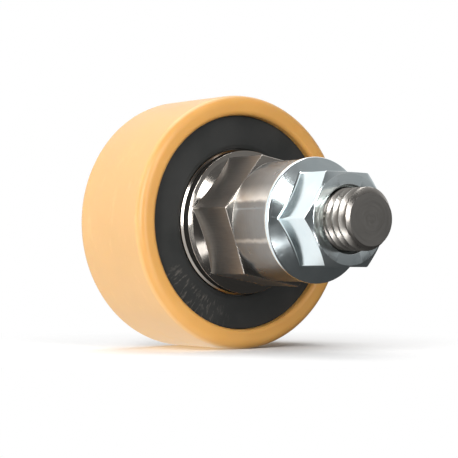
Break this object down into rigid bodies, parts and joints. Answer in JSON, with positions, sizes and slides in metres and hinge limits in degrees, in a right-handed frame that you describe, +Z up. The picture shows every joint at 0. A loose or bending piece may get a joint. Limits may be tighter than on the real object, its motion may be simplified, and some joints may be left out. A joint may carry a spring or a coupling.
{
  "type": "track roller",
  "caption": "Track roller: amber polyurethane tyre on a steel core, sealed bearings, black side seals, and a stepped stud with wrench hex, round boss, thread and flange nut.",
  "frame": {"origin": "centre of the wheel: on its axis, halfway across the tyre", "axes": "wheel axis along Y; the stud and nut point towards -Y; +Z up; +X to the right seen from the stud's side"},
  "size_m": [0.055, 0.0657, 0.055],
  "materials": {
    "polyurethane": "smooth satin cast polyurethane",
    "seal_rubber": "matt black moulded rubber",
    "core_steel": "turned",
    "stud_steel": "fine turned and lightly polished, warm grey",
    "bearing_steel": "ground",
    "ball_steel": "mirror polished",
    "cage_steel": "pressed sheet",
    "shield_steel": "pressed sheet",
    "spring_steel": "black phosphate, lightly oiled",
    "zinc_plate": "bright blue zinc plate"
  },
  "bodies": {
    "stud": {"stud": "stud_steel", "front_inner_race": "bearing_steel", "rear_inner_race": "bearing_steel", "inner_spacer": "stud_steel", "rear_thrust_ring": "stud_steel", "circlip": "spring_steel"},
    "wheel": {"tyre": "polyurethane", "hub": "core_steel", "front_seal": "seal_rubber", "rear_seal": "seal_rubber", "front_outer_race": "bearing_steel", "rear_outer_race": "bearing_steel", "front_shield_outboard": "shield_steel", "front_shield_inboard": "shield_steel", "rear_shield_outboard": "shield_steel", "rear_shield_inboard": "shield_steel"},
    "nut": {"flange_nut": "zinc_plate"},
    "front_cage": {"front_balls": "ball_steel", "front_cage_outboard": "cage_steel", "front_cage_inboard": "cage_steel", "front_cage_rivets": "cage_steel"},
    "rear_cage": {"rear_balls": "ball_steel", "rear_cage_outboard": "cage_steel", "rear_cage_inboard": "cage_steel", "rear_cage_rivets": "cage_steel"}
  },
  "joints": [
    {"name": "wheel_spin", "type": "hinge", "parent": "stud", "child": "wheel", "pos_m": [0, 0, 0], "axis": [0, -1, 0], "continuous": true},
    {"name": "front_cage_spin", "type": "hinge", "parent": "stud", "child": "front_cage", "pos_m": [0, -0.0049, 0], "axis": [0, -1, 0], "continuous": true},
    {"name": "rear_cage_spin", "type": "hinge", "parent": "stud", "child": "rear_cage", "pos_m": [0, 0.0049, 0], "axis": [0, -1, 0], "continuous": true},
    {"name": "nut_travel", "type": "slide", "parent": "stud", "child": "nut", "axis": [0, -1, 0], "range_m": [0, 0.022]}
  ],
  "couplings": [
    {"joint": "front_cage_spin", "follows": "wheel_spin", "ratio": 0.58772},
    {"joint": "rear_cage_spin", "follows": "wheel_spin", "ratio": 0.58772}
  ]
}
